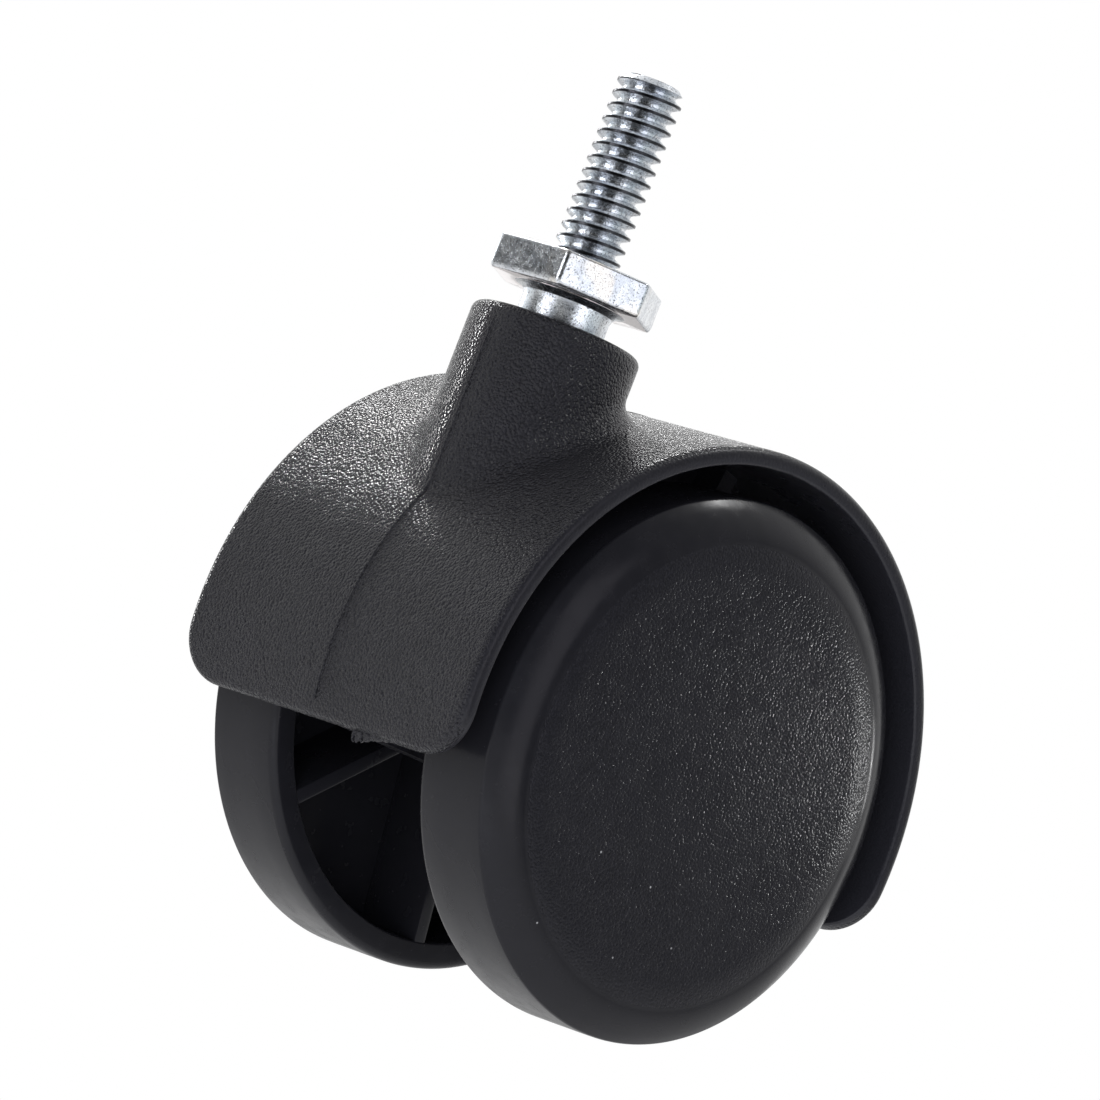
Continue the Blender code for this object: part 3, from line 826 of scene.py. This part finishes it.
def hex_mesh():
    """The collar, with its corners rolled over and a fuller roll along its lower edges."""
    corner = 0.5
    foot_roll, foot_roll_stretch = 0.28, 2.2
    head_roll = 0.30
    inner_r = (HEX_FLAT_R - corner) / math.cos(math.radians(30))
    angles = [math.radians(HEX_TURN_DEG + 60 * i) for i in range(6)]
    centres = [(inner_r * math.cos(a), inner_r * math.sin(a)) for a in angles]
    edge, normal = rounded_outline(centres, corner, 360)

    def ring(inset, z):
        at = edge - normal * inset
        return np.stack([at[:, 0], at[:, 1], z + 0 * at[:, 0]], -1)

    def roll(z, radius, height):
        """Rings round an edge at height z, from the end face to the side face. The edge rolls over by
        radius, and by height along Z."""
        bends = [math.pi / 2 * k / 5 for k in range(6)]
        return [ring(radius * (1 - math.sin(t)), z + height * (1 - math.cos(t))) for t in bends]

    flat = edge * 0.55
    middle = np.stack([flat[:, 0], flat[:, 1], 0 * flat[:, 0]], -1)
    foot = [middle - (0.0, 0.0, HEX_HEIGHT)]
    foot += roll(-HEX_HEIGHT, foot_roll, foot_roll * foot_roll_stretch)
    head = [*reversed(roll(0.0, head_roll, -head_roll)), middle]
    return ring_mesh("stem_hex", foot + head, (0.0, 0.0, -HEX_HEIGHT), (0.0, 0.0, 0.0))


def stem_mesh():
    """Shank, collar and thread in one."""
    in_collar, under_collar = -2.6, -HEX_HEIGHT - 0.03
    shank = [
        (0.0, in_collar, 0), (SHANK_R + 1.1, in_collar, 0),
        (SHANK_R + 1.1, under_collar, 0), (SHANK_R, under_collar, 1.0),
        *groove(SHANK_R, SHANK_GROOVE_R, *SHANK_GROOVE, 0.05),
        (SHANK_R, STEM_BOTTOM + 1.2, 0.4), (3.35, STEM_BOTTOM + 0.3, 0.3),
        (1.95, STEM_BOTTOM, 0.3), (0.0, STEM_BOTTOM, 0),
    ]
    stem = lathe("threaded_stem_shape", rounded(shank, 3), about_stem, 128)
    reach = THREAD_R + 0.25
    envelope = [(0.0, THREAD_LENGTH), (reach - THREAD_CHAMFER, THREAD_LENGTH)]
    envelope += [(reach, THREAD_LENGTH - THREAD_CHAMFER), (reach, -0.7), (0.0, -0.7)]
    thread = solid_boolean(thread_mesh(), lathe("envelope", envelope, about_stem, 128), "INTERSECT")
    stem = solid_boolean(stem, hex_mesh(), "UNION")
    stem = solid_boolean(stem, thread, "UNION")
    smooth(stem, 26.0)
    return stem


# Build


nylon = hood_nylon()
wheel_black = wheel_nylon()
zinc = bright_zinc()
steel = bare_steel("plain_steel", grey(0.60), grey(0.42), 0.30)
spring = bare_steel("spring_steel", grey(0.30), grey(0.18), 0.36)

front_path, rear_path = parting_paths()
for name, mesh in (
    ("hood_shell", hood_mesh()),
    ("hood_web", hood_web_mesh()),
    ("parting_line_front", parting_mesh("parting_line_front", front_path)),
    ("parting_line_rear", parting_mesh("parting_line_rear", rear_path)),
    ("gate_vestige", gate_vestige_mesh()),
):
    add_object(name, mesh, nylon, "housing", "hood_nylon", "hood")

washer_low, washer_high = WASHER_Y
washer_profile = [
    (WASHER_BORE_R, washer_high, 0.08), (WASHER_R, washer_high, 0.12),
    (WASHER_R, washer_low, 0.12), (WASHER_BORE_R, washer_low, 0.08),
]
for hand, side in (("left", -1), ("right", 1)):
    node = f"wheel_{hand}"
    for name, make in ((f"{node}_shape", wheel_mesh), (f"{node}_ribs", wheel_ribs_mesh)):
        add_object(name, make(name, side), wheel_black, f"{hand}_wheel", "wheel_nylon", node)
    name = f"washer_{hand}"
    washer = lathe(name, rounded(washer_profile, 3), about_axle, 96, side=side)
    add_object(name, washer, steel, "housing", "plain_steel", f"axle_washer_{hand}")

pin_end = [(0.0, AXLE_HALF, 0), (AXLE_R, AXLE_HALF, 0.45)]
pin_end += groove(AXLE_R, AXLE_GROOVE_R, *AXLE_GROOVE, 0.05)
pin = lathe("axle_rod", rounded(mirrored(pin_end), 3), about_axle, 96)
add_object("axle_rod", pin, steel, "housing", "plain_steel", "axle_pin")
add_object("stem_shape", stem_mesh(), zinc, "stem", "bright_zinc", "threaded_stem")

for node, material in (
    ("stem_snap_ring", spring),
    ("axle_clip_left", spring),
    ("axle_clip_right", spring),
    ("thrust_disc", steel),
):
    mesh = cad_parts[node].data
    mesh.materials.clear()
    mesh.materials.append(material)


# Stage


floor_mesh = bpy.data.meshes.new("floor")
corners = ((-1, -1), (1, -1), (1, 1), (-1, 1))
points = [(x * FLOOR_HALF * MM, y * FLOOR_HALF * MM, FLOOR_Z * MM) for x, y in corners]
floor_mesh.from_pydata(points, [], [(0, 1, 2, 3)])
floor_mesh.materials.append(floor_material())
floor = bpy.data.objects.new("floor", floor_mesh)
bpy.context.scene.collection.objects.link(floor)

camera_data = bpy.data.cameras.new("camera")
camera_data.lens = LENS
camera_data.sensor_width = 36.0
camera_data.clip_start = 0.01
camera_data.clip_end = 50.0
camera = bpy.data.objects.new("camera", camera_data)
bpy.context.scene.collection.objects.link(camera)
camera_place = Matrix((VIEW_RIGHT, VIEW_UP, -VIEW_FORWARD)).transposed().to_4x4()
camera_place.translation = (AXLE + CAMERA_FROM_AXLE) * MM
camera.matrix_world = camera_place
bpy.context.scene.camera = camera


def area_light(name, position, target, size, watts, colour=(1.0, 1.0, 1.0)):
    data = bpy.data.lights.new(name, "AREA")
    data.shape = "RECTANGLE"
    data.size, data.size_y = size
    data.energy = watts
    data.color = colour
    light = bpy.data.objects.new(name, data)
    bpy.context.scene.collection.objects.link(light)
    light.location = position
    light.rotation_euler = (target - position).to_track_quat("-Z", "Y").to_euler()
    light.visible_camera = False
    return light


def pieces_for_light(name, piece):
    """A group with the one piece that receives a light."""
    group = bpy.data.collections.new(name)
    group.objects.link(bpy.data.objects[piece])
    return group


def round_the_view(turn_deg, height_deg):
    """A place round the object, turned from the camera's side to the view's right, and raised."""
    turn, height = math.radians(turn_deg), math.radians(height_deg)
    camera_side, right_side = Vector((-0.701, -0.713, 0.0)), Vector((0.713, -0.701, 0.0))
    level = camera_side * math.cos(turn) + right_side * math.sin(turn)
    return MIDDLE + (level * math.cos(height) + Vector((0.0, 0.0, math.sin(height)))) * LIGHT_REACH


for name, direction, width, watts in (
    ("key", (0.25, 0.75, 0.61), 0.13, 2.1),
    ("rear_light", (0.42, 0.72, 0.55), 0.12, 0.7),
    ("top_light", (0.42, -0.28, 0.86), 0.08, 1.0),
):
    area_light(name, MIDDLE + Vector(direction) * LIGHT_REACH, MIDDLE, (width, width), watts)
area_light("neck_light", round_the_view(-141, 8), MIDDLE, (0.10, 0.10), 0.75)
area_light("stripe_light", round_the_view(-56, 8), MIDDLE, (0.07, 0.22), 0.6)

disc_centre = (AXLE - Vector((0.0, FACE_Y, 0.0))) * MM
disc_lamp = disc_centre + Vector((0.923, -0.384, 0.16)) * 0.15
disc_light = area_light("disc_light", disc_lamp, disc_centre, (0.012, 0.012), 0.020)
disc_light.light_linking.receiver_collection = pieces_for_light("near_wheel", "wheel_left_shape")

for name, turn_deg in (("left_box", -50), ("right_box", 40)):
    area_light(name, round_the_view(turn_deg, 8), MIDDLE, (0.42, 0.9), 1.1, (0.95, 0.92, 1.0))

fill = area_light("fill", camera_place.translation, MIDDLE, (0.5, 0.5), 2.3, (0.86, 0.90, 1.0))
fill.visible_glossy = False

seat = Vector((0.0, 0.0, 0.0))
stem_pieces = pieces_for_light("stem_pieces", "stem_shape")
for name, turn_deg, watts in (
    ("left_card", -122, 0.8),
    ("band_card", -50, 0.9),
    ("face_card", 45, 1.2),
    ("right_card", 80, 1.0),
):
    card = area_light(name, round_the_view(turn_deg, 0), seat, (0.7, 1.0), watts, (0.86, 0.95, 1.0))
    card.light_linking.receiver_collection = stem_pieces

world = bpy.data.worlds.new("studio")
bpy.context.scene.world = world
world.use_nodes = True
air = Nodes(world.node_tree)
background = world.node_tree.nodes["Background"]
white, black = grey(1.0), grey(0.0)
facing = air.along(air.add("ShaderNodeTexCoord").outputs["Generated"], GLOW_FROM)
glow = air.ramp(facing, -0.28, 0.90, 0.04, 1.0)
seen = air.add("ShaderNodeLightPath").outputs["Is Camera Ray"]
air.feed(background.inputs["Color"], air.mix(seen, air.mix(glow, black, white), white))
bpy.context.scene.view_settings.view_transform = "Standard"

bpy.context.view_layer.update()
